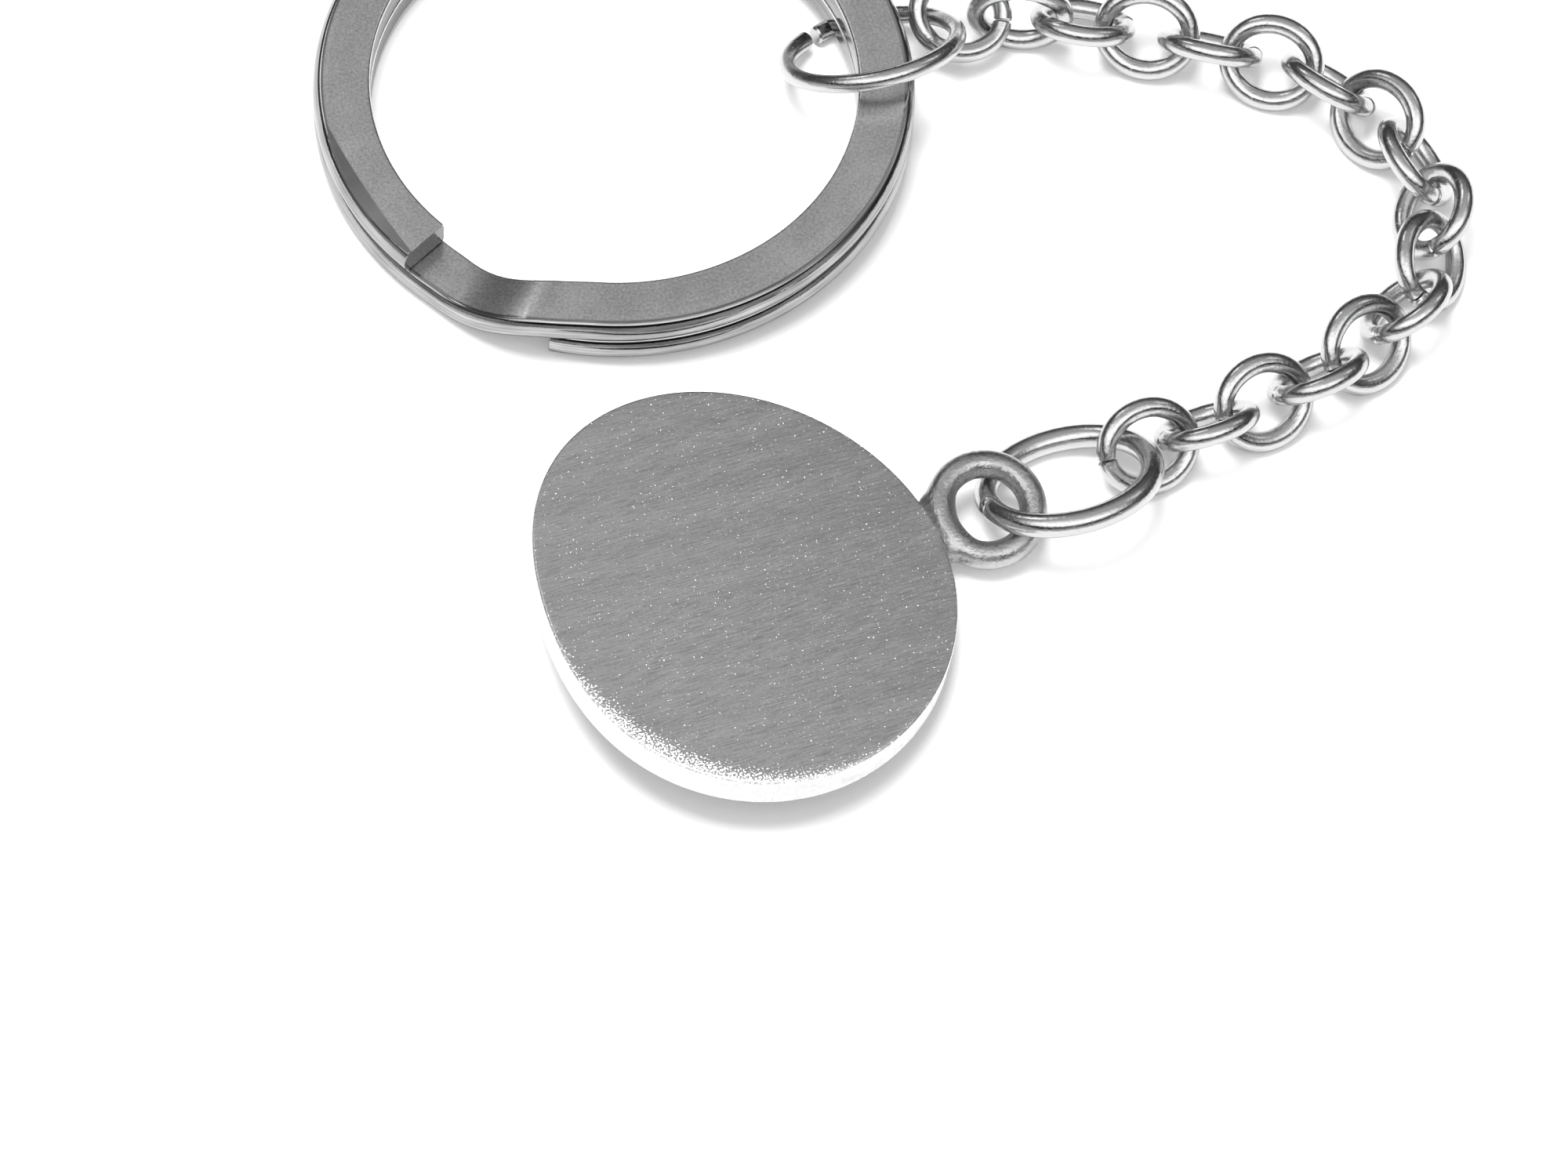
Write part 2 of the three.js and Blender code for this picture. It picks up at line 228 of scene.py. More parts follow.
def fit_circle(points, radius, wire, middle, normal):
    """Centre and normal of a torus of known size that most of the points lie on."""
    rounds, nudge, longest = 60, 1e-7, 0.3 * MM
    side = np.cross(normal, (0.3, 0.5, 0.8))
    side /= np.linalg.norm(side)
    other = np.cross(normal, side)
    values = np.array([*middle, 0, 0], float)

    def misses(v):
        n = normal + v[3] * side + v[4] * other
        n /= np.linalg.norm(n)
        d = points - v[:3]
        h = d @ n
        r = np.linalg.norm(d - h[:, None] * n, axis=1)
        return np.hypot(r - radius, h) - wire / 2

    for k in range(rounds):
        miss = misses(values)
        # Points further off than this width count for little, and it narrows with each round
        width = max(0.02, 0.6 * 0.9 ** k) * MM
        weight = 1 / (1 + (miss / width) ** 2)
        slope = np.stack([(misses(values + step) - miss) / nudge for step in np.eye(5) * nudge], 1)
        step = np.linalg.lstsq(slope * weight[:, None], -miss * weight, rcond=None)[0]
        values += np.clip(step, -longest, longest)
    n = normal + values[3] * side + values[4] * other
    return values[:3], n / np.linalg.norm(n)


# Material nodes

def steel(name, level, roughness):
    """A bare metal with its nodes, its shader and its coordinates: in the piece, and along it."""
    material = bpy.data.materials.new(name)
    material.use_nodes = True
    tree = material.node_tree
    shader = tree.nodes["Principled BSDF"]
    shader.inputs["Base Color"].default_value = (level, level, level, 1)
    shader.inputs["Metallic"].default_value = 1
    shader.inputs["Roughness"].default_value = roughness
    coordinates = tree.nodes.new("ShaderNodeTexCoord").outputs
    return material, tree, shader, coordinates["Object"], coordinates["UV"]


def add_noise(tree, vector, scale, detail=4, stretch=(1, 1, 1), turn=0):
    mapping = tree.nodes.new("ShaderNodeMapping")
    mapping.inputs["Scale"].default_value = stretch
    mapping.inputs["Rotation"].default_value = (0, 0, math.radians(turn))
    tree.links.new(vector, mapping.inputs["Vector"])
    texture = tree.nodes.new("ShaderNodeTexNoise")
    texture.inputs["Scale"].default_value = scale
    texture.inputs["Detail"].default_value = detail
    tree.links.new(mapping.outputs["Vector"], texture.inputs["Vector"])
    return texture.outputs["Fac"]


def remap(tree, value, low, high, to_low, to_high):
    node = tree.nodes.new("ShaderNodeMapRange")
    sockets = ("From Min", "From Max", "To Min", "To Max")
    for key, number in zip(sockets, (low, high, to_low, to_high)):
        node.inputs[key].default_value = number
    tree.links.new(value, node.inputs["Value"])
    return node.outputs["Result"]


def add_math(tree, operation, *values):
    node = tree.nodes.new("ShaderNodeMath")
    node.operation = operation
    for value, socket in zip(values, node.inputs):
        if isinstance(value, (int, float)):
            socket.default_value = value
        else:
            tree.links.new(value, socket)
    return node.outputs[0]


def blend(tree, share, first, second):
    """The first value where the share is 0, and the second where it is 1."""
    return add_math(tree, "MULTIPLY_ADD", add_math(tree, "SUBTRACT", second, first), share, first)


def add_split(tree, vector):
    split = tree.nodes.new("ShaderNodeSeparateXYZ")
    tree.links.new(vector, split.inputs[0])
    return split.outputs


def add_ramp(tree, value, stops, scale):
    """Levels at places from 0 to 1, which may lie over 1 by the scale."""
    node = tree.nodes.new("ShaderNodeValToRGB")
    while len(node.color_ramp.elements) < len(stops):
        node.color_ramp.elements.new(0.5)
    for element, (place, level) in zip(node.color_ramp.elements, stops):
        element.position = place
        element.color = (level / scale,) * 3 + (1,)
    tree.links.new(value, node.inputs[0])
    return add_math(tree, "MULTIPLY", node.outputs[0], scale)


def bump(tree, shader, heights):
    """Adds bumps from pairs of height and depth in millimetres."""
    last = None
    for height, depth in heights:
        node = tree.nodes.new("ShaderNodeBump")
        node.inputs["Strength"].default_value = 1
        node.inputs["Distance"].default_value = depth * MM
        tree.links.new(height, node.inputs["Height"])
        if last:
            tree.links.new(last, node.inputs["Normal"])
        last = node.outputs["Normal"]
    tree.links.new(last, shader.inputs["Normal"])


def grey(tree, value, low, high):
    """A slightly cool grey between two levels, by a value from 0 to 1."""
    node = tree.nodes.new("ShaderNodeValToRGB")
    for element, level in zip(node.color_ramp.elements, (low, high)):
        element.color = (level, level, level * 1.004, 1)
    tree.links.new(value, node.inputs["Fac"])
    return node.outputs["Color"]


# Materials. A noise's scale is in bumps a metre, and a stretched one has its scale on each axis.

def wire_steel(name, level, roughness, dents=0.012, lines=0.0008, grains=0.012):
    """Drawn and tumbled wire: soft dents, lines along the wire, pits and smudges."""
    material, tree, shader, where, along = steel(name, level, roughness)
    smudge = add_noise(tree, where, 900, 5)
    drawn = add_noise(tree, along, 1, 3, (70, 14000, 1))
    grain = add_noise(tree, where, 5000, 3)
    pits = remap(tree, add_noise(tree, where, 9000, 2), 0.68, 0.78, 0, -1)
    dent = add_noise(tree, where, 650, 2)
    dull = remap(tree, smudge, 0.3, 0.72, roughness * 0.75, roughness * 1.7)
    tone = grey(tree, remap(tree, drawn, 0.3, 0.7, 0, 1), level * 0.9, level * 1.08)
    tree.links.new(dull, shader.inputs["Roughness"])
    tree.links.new(tone, shader.inputs["Base Color"])
    bump(tree, shader, [(dent, dents), (drawn, lines), (grain, grains), (pits, 0.01)])
    return material


def band_steel(name, level, roughness):
    """Flat wire by its girth, V: polished rolled outside with lines, darker as painted shade and darkest
    inside, then satin faces, and rough cut ends.
    """
    material, tree, shader, where, along = steel(name, level, roughness)
    rolled_roughness = 0.09
    girth = add_split(tree, along)["Y"]
    inside = remap(tree, girth, BAND_INSIDE * MM, (BAND_INSIDE + 0.1) * MM, 0, 1)
    outside = remap(tree, girth, BAND_SIDE * MM, (BAND_SIDE + 0.08) * MM, 1, 0)
    side = add_math(tree, "ADD", outside, inside)
    cut = remap(tree, girth, -0.3 * MM, -0.5 * MM, 0, 1)

    drawn = add_noise(tree, along, 1, 4, (60, 11000, 1))
    streaks = add_noise(tree, along, 1, 2, (400, 2600, 1))
    grain = add_noise(tree, where, 7000, 2)
    mottle = add_noise(tree, where, 500, 4)
    dent = add_noise(tree, where, 400, 2)

    satin = add_math(tree, "MULTIPLY_ADD", grain, 2, add_math(tree, "MULTIPLY_ADD", drawn, 0.7, mottle))
    face = remap(tree, satin, 1.45, 2.25, level * 0.8, level * 1.2)
    # The side's tone: lines partly drawn and partly painted reflection stripes, set darker than the faces
    # as painted shade
    lined = add_math(tree, "MULTIPLY_ADD", drawn, 1.6, streaks)
    rolled_tone_painted_shade = remap(tree, lined, 0.9, 1.7, level * 0.28, level * 0.76)
    # Painted shade: the inside of the side is darker still
    rolled_tone_painted_shade = add_math(tree, "MULTIPLY", rolled_tone_painted_shade, remap(tree, inside, 0, 1, 1, 0.6))
    tone = blend(tree, cut, blend(tree, side, face, rolled_tone_painted_shade), level * 0.32)
    dull = add_math(tree, "MULTIPLY_ADD", side, rolled_roughness - roughness, roughness)
    tree.links.new(tone, shader.inputs["Base Color"])
    tree.links.new(dull, shader.inputs["Roughness"])

    lines = add_math(tree, "MULTIPLY", drawn, side)
    torn = add_math(tree, "MULTIPLY", grain, cut)
    bump(tree, shader, [(dent, 0.006), (lines, 0.0015), (grain, 0.003), (torn, 0.012)])
    return material


def painted_glint_scuff(tree, where, axes, back):
    """Painted glints: white specks on the back, thick along the worn part of its edge, from 0 to 1."""
    scaled = tree.nodes.new("ShaderNodeMapping")
    scaled.inputs["Scale"].default_value = (2 / PLATE_HEIGHT / MM, 2 / PLATE_WIDTH / MM, 0)
    tree.links.new(where, scaled.inputs["Vector"])
    oval = tree.nodes.new("ShaderNodeVectorMath")
    oval.operation = "LENGTH"
    tree.links.new(scaled.outputs["Vector"], oval.inputs[0])
    heading = math.radians(WEAR_HEADING)
    toward = add_math(
        tree, "MULTIPLY_ADD", axes["X"], math.cos(heading),
        add_math(tree, "MULTIPLY", axes["Y"], math.sin(heading)),
    )
    near_edge = remap(tree, oval.outputs["Value"], 0.935, 1.0, 0, 0.22)
    worn = add_math(tree, "MULTIPLY", near_edge, remap(tree, toward, 3 * MM, 9.5 * MM, 0, 1))
    worn = add_math(tree, "MULTIPLY", worn, back)
    dots = add_math(tree, "ADD", add_noise(tree, where, 9000, 1), worn)
    return add_math(tree, "MULTIPLY", remap(tree, dots, 0.7, 0.76, 0, 1), back)


def brushed_steel(name, level, roughness, turn):
    """A face brushed one way and scuffed at one edge, with white specks there as painted glints, duller
    than its wall, which is painted near white as a highlight.
    """
    material, tree, shader, where, _ = steel(name, level, roughness)
    axes = add_split(tree, where)
    wall = remap(tree, axes["Z"], -0.02 * MM, -0.08 * MM, 0, 1)
    front = remap(tree, axes["Z"], -(PLATE_WALL - 0.15) * MM, -PLATE_WALL * MM, 0, 1)
    bright = add_math(tree, "SUBTRACT", wall, front)
    back = add_math(tree, "SUBTRACT", 1, front)

    # The brushed back, with painted light making it a little lighter towards one side
    streaks = add_noise(tree, where, 1, 3, (800, 17000, 800), turn)
    broad = add_noise(tree, where, 1, 3, (60, 900, 60), turn)
    grain = add_noise(tree, where, 6000, 1)
    brush = add_math(tree, "MULTIPLY_ADD", grain, 0.35, add_math(tree, "MULTIPLY_ADD", broad, 0.1, streaks))
    tone = remap(tree, brush, 0.55, 0.9, level * 0.77, level * 1.23)
    # Painted light: this factor lightens the back towards one side and darkens it towards the other
    across = remap(tree, axes["X"], -PLATE_HEIGHT / 2 * MM, PLATE_HEIGHT / 4 * MM, 0.86, 1.03)
    face = add_math(tree, "MULTIPLY", tone, across)

    # The cast front, darker in its hollows as painted shade, and the wall, near white as a painted
    # highlight, with faint marks
    # Painted shade: the front darkens by depth towards its hollows
    cast = remap(tree, axes["Z"], -(PLATE_WALL + 0.05) * MM, -(PLATE_WALL + RELIEF) * MM, 0.36, 0.74)
    mottle = remap(tree, add_noise(tree, where, 1800, 5), 0.3, 0.7, 0.88, 1.1)
    # The wall's tone: near white as a painted highlight, with darker faint marks
    wall_marks_and_painted_highlight = remap(tree, add_noise(tree, where, 1500, 5), 0.3, 0.5, 0.76, 0.92)
    face = blend(tree, front, face, add_math(tree, "MULTIPLY", cast, mottle))
    tone = blend(tree, bright, face, wall_marks_and_painted_highlight)

    glint_specks = painted_glint_scuff(tree, where, axes, back)
    # Painted glints: the specks turn white and non-metal where the worn edge would sparkle
    glint_speckled = add_math(tree, "MAXIMUM", tone, add_math(tree, "MULTIPLY", glint_specks, 0.93))
    rough = remap(tree, broad, 0.3, 0.7, roughness * 0.85, roughness * 1.2)
    tree.links.new(glint_speckled, shader.inputs["Base Color"])
    tree.links.new(add_math(tree, "SUBTRACT", 1, glint_specks), shader.inputs["Metallic"])
    tree.links.new(add_math(tree, "MULTIPLY_ADD", bright, 0.14, rough), shader.inputs["Roughness"])

    wave = add_noise(tree, where, 70, 2)
    brushed = add_math(tree, "MULTIPLY", streaks, back)
    bump(tree, shader, [(wave, 0.008), (brushed, 0.004), (glint_specks, 0.004)])
    return material


CHAIN_STEEL = wire_steel("polished_chain_steel", 0.6, 0.16)
RING_STEEL = band_steel("split_ring_steel", 0.7, 0.28)
EYE_STEEL = wire_steel("eye_steel", 0.5, 0.26, dents=0.02, lines=0.003, grains=0.04)
PENDANT_STEEL = brushed_steel("pendant_steel", 0.89, 0.36, BRUSH_TURN)


# Round wires

def wire_mesh(name, size, matrix, seed, stations=168):
    """An oval of round wire with two butt ends, worn on its inside and most at its far ends."""
    wire = size["wire"] / 2
    a, b = (size["length"] / 2 - wire), (size["width"] / 2 - wire)
    half_gap = size["gap"] / (a + b)
    start = math.radians(size["gap_angle"]) + half_gap
    sections, lengths = [], []
    for i in range(stations):
        t = i / (stations - 1)
        angle = start + t * (2 * math.pi - 2 * half_gap)
        centre = Vector((a * math.cos(angle), b * math.sin(angle), 0))
        along = Vector((-a * math.sin(angle), b * math.cos(angle), 0)).normalized()
        out = along.cross(Vector((0, 0, 1)))
        near_end = min(t, 1 - t) * math.pi * (a + b)
        radius = wire * (1 + WAVER * noise.noise(Vector((i * 0.07, seed * 3.7, 0))))
        radius -= CUT_ROUNDING * max(0, 1 - near_end / CUT_REACH) ** 2
        shift = SEAM_SHIFT * math.exp(-near_end / SEAM_REACH) * (1 if t < 0.5 else -1)
        end = math.exp(-((abs(math.cos(angle)) - 1) / SEAT_SPREAD) ** 2)
        seat = SEAT_WEAR * (0.5 + 0.8 * end)
        radius -= 0.45 * SEAT_WEAR * end
        section = []
        for j in range(LOOP_SIDES):
            phi = 2 * math.pi * j / LOOP_SIDES
            worn = radius - seat * max(0, -math.cos(phi)) ** 0.5
            round_point = out * (worn * math.cos(phi)) + Vector((0, 0, shift + worn * math.sin(phi)))
            section.append((centre + round_point) * MM)
        sections.append(section)
        # The seed sets the wires apart, so that no two have the same lines
        lengths.append((t * 2 * math.pi * math.sqrt(a * b) + seed * 17) * MM)
    points, faces, uv = swept(sections, lengths)
    piece = add_mesh(
        name + "_wire", points, faces, CHAIN_STEEL, name, [name], matrix, uv,
    )
    sharpen(piece)


def jump_matrix():
    """The jump ring is round, so its two end faces give its turn."""
    points = node_points("jump_ring")
    z = np.linalg.svd(points - points.mean(0), full_matrices=False)[2][2]
    z = z if z[2] > 0 else -z
    radius = (JUMP["length"] - JUMP["wire"]) / 2 * MM
    middle, z = fit_circle(points, radius, JUMP["wire"] * MM, points.mean(0), z)
    ends = []
    for face in frame["nodes"]["jump_ring"].data.polygons:
        out = np.array(face.center) - middle
        out /= np.linalg.norm(out)
        if abs(np.cross(z, out) @ np.array(face.normal)) > 0.9:
            ends.append(out * face.area)
    away = sum(ends)
    away -= (away @ z) * z
    away /= np.linalg.norm(away)
    turn = math.radians(-JUMP["gap_angle"])
    x = away * math.cos(turn) + np.cross(z, away) * math.sin(turn)
    return as_matrix(middle, x, np.cross(z, x), z)


def loops():
    links = [f"chain_link_{i + 1:02d}" for i in range(LINK_COUNT)]
    order = [*links, "oval_ring", "soldered_eye"]
    for i, name in enumerate(order[:-1]):
        size = OVAL if name == "oval_ring" else LINK
        onward = node_points(order[i + 1]).mean(0)
        wire_mesh(name, size, loop_matrix(name, onward), i)
    wire_mesh("jump_ring", JUMP, jump_matrix(), 40, stations=240)


loops()


# Split ring

def band_section(ground=0):
    """The flat wire's outline, X to the outside and Y up, with a ground strip of a width."""
    outline = []

    def corner(x, y, radius, start, end, steps):
        for k in range(steps + 1):
            angle = math.radians(start + (end - start) * k / steps)
            outline.append((x + radius * math.cos(angle), y + radius * math.sin(angle)))

    x, y = BAND_WIDTH / 2, COIL / 2
    rise = y - BAND_EDGE * (1 - math.sin(math.radians(BARREL_ANGLE)))
    barrel = rise / math.sin(math.radians(BARREL_ANGLE))
    edge_x = x - barrel + (barrel - BAND_EDGE) * math.cos(math.radians(BARREL_ANGLE))
    crease = edge_x - ground
    corner(edge_x, BAND_EDGE - y, BAND_EDGE, 270, 360 - BARREL_ANGLE, 5)
    corner(x - barrel, 0, barrel, -BARREL_ANGLE, BARREL_ANGLE, 20)
    corner(edge_x, y - BAND_EDGE, BAND_EDGE, BARREL_ANGLE, 90, 5)
    slope = GROUND_SLOPE * min(1, ground * 4)
    outline = [(px, min(py, y - max(0, px - crease) * slope)) for px, py in outline]
    outline.append((crease, y))
    corner(BAND_CORNER - x, y - BAND_CORNER, BAND_CORNER, 90, 180, 9)
    corner(BAND_CORNER - x, BAND_CORNER - y, BAND_CORNER, 180, 270, 9)
    return outline


def split_ring():
    middle_radius = (RING_OUTER - BAND_WIDTH) / 2
    # Degrees from either end, set close for its rounding
    ends = [0, 0.02, 0.06, 0.12, 0.2]
    spans = [WIRE_START + d for d in ends[:-1]]
    spans += list(np.linspace(WIRE_START + ends[-1], WIRE_END - ends[-1], BAND_STATIONS))
    spans += [WIRE_END - d for d in reversed(ends[:-1])]
    sections, lengths = [], []
    for degrees in spans:
        angle = math.radians(degrees)
        from_end = min(degrees - WIRE_START, WIRE_END - degrees) * middle_radius * math.pi / 180
        inset = BAND_END_ROUNDING * max(0, 1 - from_end / BAND_END_ROUNDING) ** 2
        part = min(max((WIRE_END - degrees) / GROUND_SPAN, 0), 1)
        ground = GROUND_WIDTH * math.sin(math.pi * part) ** 0.8 if part < 1 else 0
        section = [
            (x * (1 - inset * 2 / BAND_WIDTH), y * (1 - inset * 2 / COIL))
            for x, y in band_section(ground)
        ]
        share = min(max((degrees - BOW_START) / (BOW_END - BOW_START), 0), 1)
        radius = middle_radius + CLIMB_BOW * math.sin(math.pi * share) ** 2
        climb = smooth_step(degrees, CLIMB_START, CLIMB_END) * (COIL + COIL_GAP)
        out = Vector((math.cos(angle), math.sin(angle), 0))
        centre = out * radius + Vector((0, 0, COIL / 2 + climb))
        sections.append([(centre + out * x + Vector((0, 0, y))) * MM for x, y in section])
        lengths.append(angle * middle_radius * MM)
    points, faces, uv = swept(sections, lengths, flip=True)
    joint = JOINTS["jump_ring_travel"]
    up = Vector((0, 0, 1)).rotation_difference(Vector(joint["axis"]))
    matrix = Matrix.Translation(joint["pos_m"]) @ up.to_matrix().to_4x4()
    piece = add_mesh(
        "split_ring_band", points, faces, RING_STEEL, "split_ring", ["split_ring"],
        matrix, uv,
    )
    sharpen(piece, BAND_SHARP_ANGLE)


split_ring()


# Pendant

def outline_radius(angle):
    mean = (PLATE_WIDTH + PLATE_HEIGHT) / 4
    oval = (PLATE_WIDTH - PLATE_HEIGHT) / 4
    turned = angle - math.radians(PLATE_TURN)
    return mean - oval * math.cos(2 * turned) - PLATE_TAPER * math.cos(3 * turned)


# The skull's parts: place up and across, half sizes up and across, then height or depth.
# The last is a share of the relief, as is the teeth's floor, and the others of the skull's height.
SWELLINGS = [
    (0.13, 0, 0.37, 0.4, 1), (-0.11, 0.18, 0.1, 0.15, 0.82), (-0.11, -0.18, 0.1, 0.15, 0.82),
    (-0.18, 0, 0.24, 0.24, 0.9), (-0.36, 0, 0.14, 0.21, 0.76),
]
HOLLOWS = [
    (0, 0.165, 0.11, 0.125, 0.85), (0, -0.165, 0.11, 0.125, 0.85),
    (-0.155, 0.032, 0.075, 0.038, 0.6), (-0.155, -0.032, 0.075, 0.038, 0.6),
]
TEETH = 5
TOOTH_GROOVE, TOOTH_PITCH, TOOTH_LENGTH, BITE, TOOTH_FLOOR = 0.018, 0.06, 0.16, -0.345, 0.3
TOOTH_BLUR = 0.007


def groove_depth(up, across):
    """How deep the grooves between the teeth cut, from 0 to 1."""
    ends = TOOTH_PITCH * TEETH / 2
    cuts = [(up - BITE, across, TOOTH_GROOVE / 2, ends)]
    cuts += [
        (up - BITE, across - (i - (TEETH - 1) / 2) * TOOTH_PITCH, TOOTH_LENGTH / 2, TOOTH_GROOVE / 2)
        for i in range(TEETH)
    ]
    return max(
        smooth_step(hu - abs(u), -TOOTH_BLUR, TOOTH_BLUR)
        * smooth_step(hv - abs(v), -TOOTH_BLUR, TOOTH_BLUR)
        for u, v, hu, hv in cuts
    )


def relief_height(x, y):
    """How far the skull stands out of the front, in millimetres."""
    up, across = -x / SKULL_HEIGHT, y / SKULL_HEIGHT
    height = 0
    for u, v, hu, hv, h in SWELLINGS:
        inside = 1 - ((up - u) / hu) ** 2 - ((across - v) / hv) ** 2
        if inside > 0:
            height = max(height, h * math.sqrt(inside))
    for u, v, hu, hv, h in HOLLOWS:
        inside = 1 - ((up - u) / hu) ** 2 - ((across - v) / hv) ** 2
        if inside > 0:
            height = min(height, max(0, 1 - h * math.sqrt(inside)))
    if height > TOOTH_FLOOR:
        height += (TOOTH_FLOOR - height) * groove_depth(up, across)
    return height * RELIEF


def pendant():
    """The plate in rings: the back outwards, its edge, the wall, and the front inwards."""
    rows = []

    def worn(angle):
        """The rounding of the back's edge, worn wider on the side away from the eye."""
        return PLATE_EDGE + EDGE_WEAR * max(0, math.cos(angle - math.radians(WEAR_HEADING))) ** 2

    def ring(share, inset, z, relief=False, back=False):
        row = []
        for k in range(PLATE_TURNS):
            angle = 2 * math.pi * k / PLATE_TURNS
            edge = worn(angle) if back else PLATE_EDGE
            radius = (outline_radius(angle) - inset * edge) * share
            x, y = radius * math.cos(angle), radius * math.sin(angle)
            lift = z * edge if back else z - (relief_height(x, y) if relief else 0)
            row.append((x * MM, y * MM, lift * MM))
        rows.append(row)

    for k in range(1, BACK_RINGS):
        ring(k / BACK_RINGS, 1, 0, back=True)
    for k in range(11):
        angle = math.radians(9 * k)
        ring(1, 1 - math.sin(angle), math.cos(angle) - 1, back=True)
    for k in range(7):
        angle = math.radians(15 * k)
        ring(1, 1 - math.cos(angle), -PLATE_WALL + PLATE_EDGE * (1 - math.sin(angle)))
    for k in range(FRONT_RINGS - 1, 0, -1):
        ring(k / FRONT_RINGS, 1, -PLATE_WALL, relief=True)
    points = [p for row in rows for p in row]
    faces = grid_faces(len(rows), PLATE_TURNS, flip=True)
    back, front = len(points), len(points) + 1
    points += [(0, 0, 0), (0, 0, (-PLATE_WALL - relief_height(0, 0)) * MM)]
    last = (len(rows) - 1) * PLATE_TURNS
    for k in range(PLATE_TURNS):
        faces.append((back, k, (k + 1) % PLATE_TURNS))
        faces.append((front, last + (k + 1) % PLATE_TURNS, last + k))
    return points, faces


def fit_eye(plate_middle, plate_up):
    """The eye's middle and normal: of fits from several tilts, the one that most points lie on."""
    points = node_points("soldered_eye")
    radius = (EYE_OUTER - EYE_WIRE) / 2 * MM
    from_plate = np.linalg.norm(points - plate_middle, axis=1)
    far_side = points[np.argsort(from_plate)[-120:]].mean(0)
    inwards = plate_middle - far_side
    guess = far_side + inwards * 2 * MM / np.linalg.norm(inwards)
    fits = []
    for lean_x in (-0.35, 0, 0.35):
        for lean_y in (-0.35, 0, 0.35):
            way = plate_up + (lean_x, lean_y, 0)
            way = way / np.linalg.norm(way)
            middle, normal = fit_circle(points, radius, EYE_WIRE * MM, guess, way)
            away = points - middle
            high = away @ normal
            flat = np.linalg.norm(away - high[:, None] * normal, axis=1) - radius
            near = abs(np.hypot(flat, high) - EYE_WIRE / 2 * MM) < 0.03 * MM
            fits.append((near.sum(), tuple(middle), tuple(normal)))
    _, middle, normal = max(fits)
    return np.array(middle), np.array(normal)


plate_middle = np.array(MOUNTS["pendant_back"]["pos_m"])
plate_up = np.array(MOUNTS["pendant_back"]["axis"])
eye_middle, eye_normal = fit_eye(plate_middle, plate_up)
heading = plate_middle - eye_middle
heading[2] = 0
plate_y = np.cross(plate_up, heading)
plate_y /= np.linalg.norm(plate_y)
plate_x = np.cross(plate_y, plate_up)
PLATE_MATRIX = as_matrix(plate_middle, plate_x, plate_y, plate_up)
points, faces = pendant()
add_mesh(
    "pendant_cast", points, faces, PENDANT_STEEL, "pendant_and_eye", ["pendant"],
    PLATE_MATRIX,
)


def edge_distance(to_plate, angle):
    """How far the pendant's edge lies from the eye's middle, along a way in the eye's plane."""
    for step in range(200, 600, 2):
        r = step / 100
        p = to_plate @ Vector((r * math.cos(angle) * MM, r * math.sin(angle) * MM, 0))
        if math.hypot(p.x, p.y) < outline_radius(math.atan2(p.y, p.x)) * MM:
            return r
    return 6


def eye():
    """The eye, drawn out in solder to the pendant's edge."""
    eye_x = np.cross(np.cross(eye_normal, heading), eye_normal)
    eye_x /= np.linalg.norm(eye_x)
    matrix = as_matrix(eye_middle, eye_x, np.cross(eye_normal, eye_x), eye_normal)
    to_plate = PLATE_MATRIX.inverted() @ matrix
    radius, wire = (EYE_OUTER - EYE_WIRE) / 2, EYE_WIRE / 2
    wall = to_plate.inverted() @ Vector((-outline_radius(math.pi) * MM, 0, -PLATE_WALL / 2 * MM))
    points = []
    for i in range(EYE_TURNS):
        angle = math.remainder(2 * math.pi * i / EYE_TURNS, 2 * math.pi)
        away = abs(math.degrees(angle))
        melt = 1 - smooth_step(away, SOLDER_ANGLE - 14, SOLDER_ANGLE + 6)
        reach = 0
        if melt > 0:
            reach = min(edge_distance(to_plate, angle) + SOLDER_OVERLAP - radius - wire, 1) * melt
        swell = SOLDER_SWELL * (1 - smooth_step(away, 15, 50))
        seat = SEAT_WEAR * 1.5 * smooth_step(away, 35, 60)
        for j in range(EYE_SIDES):
            phi = 2 * math.pi * j / EYE_SIDES
            out = max(0, math.cos(phi))
            r = radius + (wire + swell) * math.cos(phi) + max(reach, -0.3) * out ** 1.6
            r += seat * max(0, -math.cos(phi)) ** 0.5
            z = (wire + swell) * math.sin(phi) + (wall.z / MM) * melt * out ** 2 * 0.8
            lump = noise.noise(Vector((r * math.cos(angle), r * math.sin(angle), z)) * 2.2)
            grow = 1 + lump * (0.015 + 0.06 * melt * out)
            points.append((r * math.cos(angle) * MM, r * math.sin(angle) * MM, z * grow * MM))
    faces = grid_faces(EYE_TURNS, EYE_SIDES, close_rows=True, flip=True)
    corner_uv = []
    for i in range(EYE_TURNS):
        for j in range(EYE_SIDES):
            u = [k * 2 * math.pi * radius / EYE_TURNS * MM for k in (i, i + 1)]
            v = [k * 2 * math.pi * wire / EYE_SIDES * MM for k in (j, j + 1)]
            corner_uv += reversed([(u[0], v[0]), (u[0], v[1]), (u[1], v[1]), (u[1], v[0])])
    add_mesh(
        "eye_and_solder", points, faces, EYE_STEEL, "pendant_and_eye", ["soldered_eye"],
        matrix, corner_uv,
    )


eye()


# Table, light and camera

TABLE_HALF = 1.5
TABLE_WHITE = 0.78
TABLE_GLOW = 0.22

# Brightness by height, as the sine of the elevation: to the north, then to the south
NORTH = [(0.0, 0.05), (0.3, 0.06), (0.6, 0.16), (0.84, 0.45), (1.0, 0.58)]
SOUTH = [
    (0.0, 0.5), (0.28, 0.42), (0.34, 0.01), (0.54, 0.01), (0.61, 1.0), (0.8, 2), (0.95, 1.6), (1.0, 0.6),
]
BRIGHTEST = 4
WINDOWS = (
    # Way from the north, height and half size in degrees, and brightness
    (-45, 46, 8, 1.6),
    (50, 46, 8, 0.8),
)
KEY_PLACE, KEY_SIZE, KEY_POWER = (-0.12, 0.03, 0.56), 0.28, 4.4

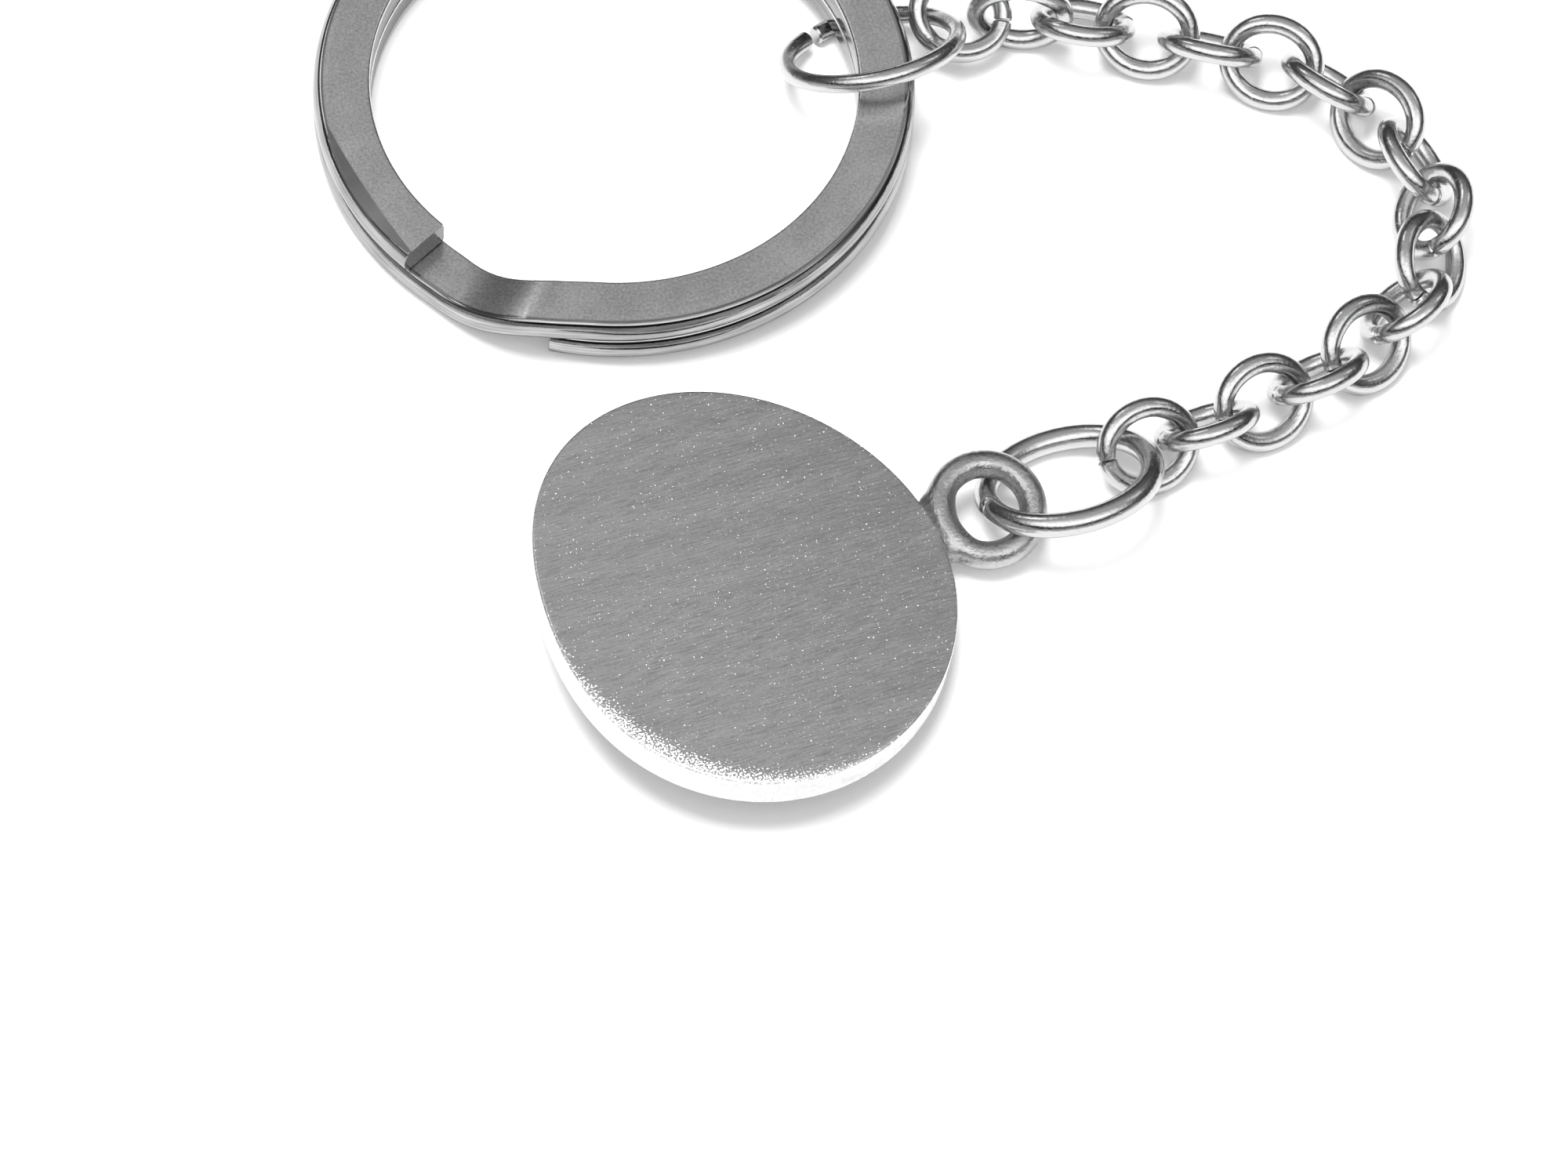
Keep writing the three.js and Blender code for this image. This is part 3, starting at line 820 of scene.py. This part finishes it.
# The camera's axes, its place from the split ring in millimetres, and its focal length in pixels
CAMERA_RIGHT = (0.99074784, 0.11394949, 0.07371723)
CAMERA_UP = (-0.13571557, 0.83185157, 0.53814891)
CAMERA_AHEAD = (0, 0.54317445, -0.83961986)
CAMERA_PLACE = (11.69, -210.22, 284.22)
FOCAL_PIXELS, PHOTO_PIXELS = 8971, 2000
SENSOR_WIDTH = 36


def table():
    """A white sheet, a little brighter to the camera so that it comes out white."""
    side = TABLE_HALF
    mesh = bpy.data.meshes.new("table")
    corners = [(-side, -side, 0), (side, -side, 0), (side, side, 0), (-side, side, 0)]
    mesh.from_pydata(corners, [], [(0, 1, 2, 3)])
    floor = bpy.data.objects.new("table", mesh)
    bpy.context.scene.collection.objects.link(floor)
    material = bpy.data.materials.new("white_table")
    material.use_nodes = True
    tree = material.node_tree
    shader = tree.nodes["Principled BSDF"]
    shader.inputs["Base Color"].default_value = (TABLE_WHITE, TABLE_WHITE, TABLE_WHITE, 1)
    shader.inputs["Roughness"].default_value = 0.9
    shader.inputs["Specular IOR Level"].default_value = 0
    path = tree.nodes.new("ShaderNodeLightPath")
    glow = add_math(tree, "MULTIPLY", path.outputs["Is Camera Ray"], TABLE_GLOW)
    shader.inputs["Emission Color"].default_value = (1, 1, 1, 1)
    tree.links.new(glow, shader.inputs["Emission Strength"])
    mesh.materials.append(material)


def world():
    """A bright canopy to the south over a dark strip, grey to the north, and two windows."""
    scene = bpy.context.scene
    scene.world = bpy.data.worlds.new("studio")
    scene.world.use_nodes = True
    tree = scene.world.node_tree
    background = tree.nodes["Background"]
    where = tree.nodes.new("ShaderNodeTexCoord").outputs["Generated"]
    axes = add_split(tree, where)
    north = add_ramp(tree, axes["Z"], NORTH, BRIGHTEST)
    south = add_ramp(tree, axes["Z"], SOUTH, BRIGHTEST)
    southward = remap(tree, axes["Y"], 0.12, -0.35, 0, 1)
    total = blend(tree, southward, north, south)
    for way, up, half, level in WINDOWS:
        a, e = math.radians(way), math.radians(up)
        aim = (math.sin(a) * math.cos(e), math.cos(a) * math.cos(e), math.sin(e))
        dot = tree.nodes.new("ShaderNodeVectorMath")
        dot.operation = "DOT_PRODUCT"
        dot.inputs[1].default_value = aim
        tree.links.new(where, dot.inputs[0])
        outer, inner = math.cos(math.radians(half * 1.3)), math.cos(math.radians(half * 0.7))
        window = remap(tree, dot.outputs["Value"], outer, inner, 0, level)
        total = add_math(tree, "ADD", total, window)
    tree.links.new(total, background.inputs["Strength"])
    background.inputs["Color"].default_value = (1, 1, 1, 1)


def key_light():
    data = bpy.data.lights.new("key", "AREA")
    data.shape = "RECTANGLE"
    data.size, data.size_y = KEY_SIZE, KEY_SIZE
    data.energy = KEY_POWER
    light = bpy.data.objects.new("key", data)
    light.location = KEY_PLACE
    light.rotation_euler = (-Vector(KEY_PLACE)).to_track_quat("-Z", "Y").to_euler()
    light.visible_glossy = False
    bpy.context.scene.collection.objects.link(light)


def camera():
    data = bpy.data.cameras.new("camera")
    data.sensor_width = SENSOR_WIDTH
    data.lens = SENSOR_WIDTH * FOCAL_PIXELS / PHOTO_PIXELS
    data.clip_start = 0.01
    view = bpy.data.objects.new("camera", data)
    ring = Vector(JOINTS["jump_ring_travel"]["pos_m"])
    place = Vector((ring.x, ring.y, 0)) + Vector(CAMERA_PLACE) * MM
    view.matrix_world = as_matrix(place, CAMERA_RIGHT, CAMERA_UP, -Vector(CAMERA_AHEAD))
    bpy.context.scene.collection.objects.link(view)
    bpy.context.scene.camera = view


table()
world()
key_light()
camera()

scene = bpy.context.scene
scene.view_settings.view_transform = "Standard"
